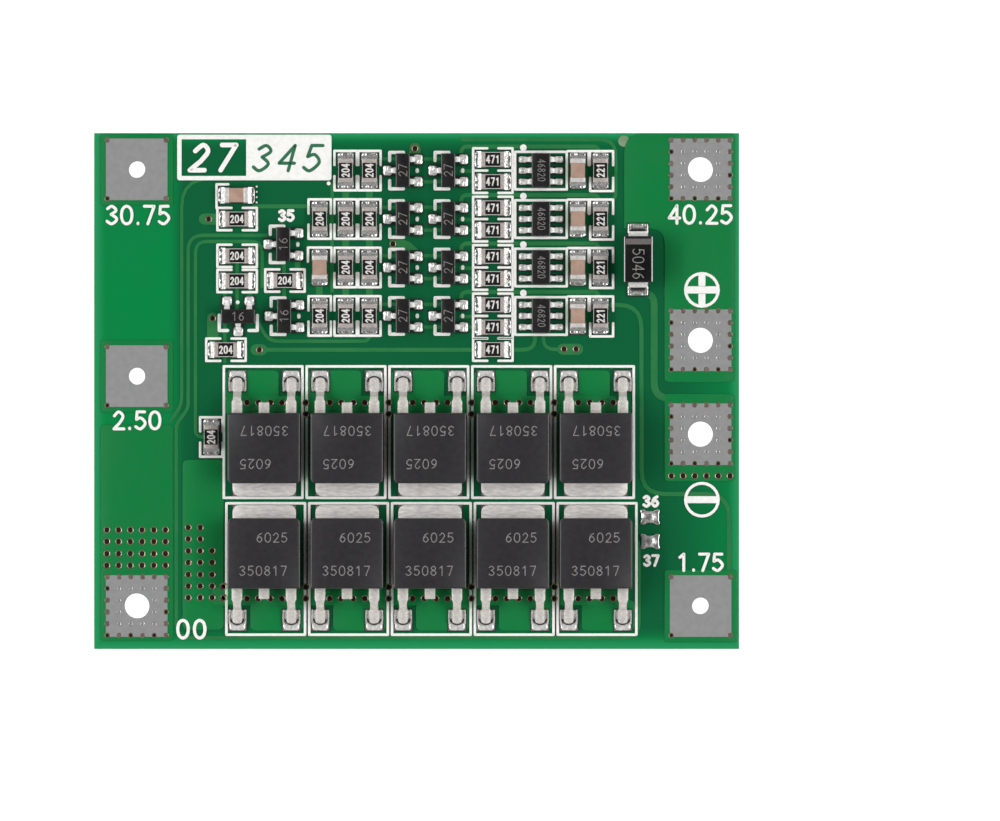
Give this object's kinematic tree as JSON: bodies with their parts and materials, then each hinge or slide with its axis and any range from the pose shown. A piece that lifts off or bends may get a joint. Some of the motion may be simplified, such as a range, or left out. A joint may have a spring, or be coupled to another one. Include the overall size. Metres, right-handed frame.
{
  "type": "battery management board",
  "caption": "Flat circuit board that guards a battery pack: plated wire pads along two edges, two rows of power transistors and a block of small surface-mounted parts.",
  "frame": {"origin": "middle of the board's underside", "axes": "+X along the board's long edge towards the plus and minus pads, +Y along its short edge towards the small parts, +Z out of the face that carries the parts"},
  "size_m": [0.055, 0.044, 0.0039],
  "materials": {
    "masked_laminate": "green solder mask over glass-epoxy laminate",
    "masked_copper": "green solder mask over etched copper",
    "tinned_pad": "dull levelled tin over copper",
    "solder": "bright solder over copper",
    "power_moulding": "fine matte moulding compound",
    "power_metal": "matte tin plate over copper",
    "diode_moulding": "fine matte moulding compound",
    "small_moulding": "fine matte moulding compound",
    "lead_metal": "matte tin plate",
    "chip_end_metal": "tin plate, wetted by solder",
    "resistor_body": "white ceramic under a black glaze",
    "capacitor_ceramic": "fired ceramic, satin"
  },
  "bodies": {
    "root": {"capacitor_cores": "capacitor_ceramic", "capacitor_ends": "chip_end_metal", "copper_bottom": "masked_copper", "copper_top": "masked_copper", "diode_body": "diode_moulding", "diode_terminals": "lead_metal", "laminate": "masked_laminate", "lands_chips": "solder", "lands_power": "solder", "lands_signal": "solder", "monitor_chip_1_body": "small_moulding", "monitor_chip_1_leads": "lead_metal", "monitor_chip_2_body": "small_moulding", "monitor_chip_2_leads": "lead_metal", "monitor_chip_3_body": "small_moulding", "monitor_chip_3_leads": "lead_metal", "monitor_chip_4_body": "small_moulding", "monitor_chip_4_leads": "lead_metal", "pad_cell_0": "tinned_pad", "pad_cell_1": "tinned_pad", "pad_cell_2": "tinned_pad", "pad_cell_3": "tinned_pad", "pad_cell_4": "tinned_pad", "pad_minus": "tinned_pad", "pad_plus": "tinned_pad", "power_transistor_10_body": "power_moulding", "power_transistor_10_metal": "power_metal", "power_transistor_1_body": "power_moulding", "power_transistor_1_metal": "power_metal", "power_transistor_2_body": "power_moulding", "power_transistor_2_metal": "power_metal", "power_transistor_3_body": "power_moulding", "power_transistor_3_metal": "power_metal", "power_transistor_4_body": "power_moulding", "power_transistor_4_metal": "power_metal", "power_transistor_5_body": "power_moulding", "power_transistor_5_metal": "power_metal", "power_transistor_6_body": "power_moulding", "power_transistor_6_metal": "power_metal", "power_transistor_7_body": "power_moulding", "power_transistor_7_metal": "power_metal", "power_transistor_8_body": "power_moulding", "power_transistor_8_metal": "power_metal", "power_transistor_9_body": "power_moulding", "power_transistor_9_metal": "power_metal", "resistor_cores": "resistor_body", "resistor_ends": "chip_end_metal", "small_transistor_bodies": "small_moulding", "small_transistor_leads": "lead_metal", "solder_bridges": "solder"}
  },
  "joints": []
}
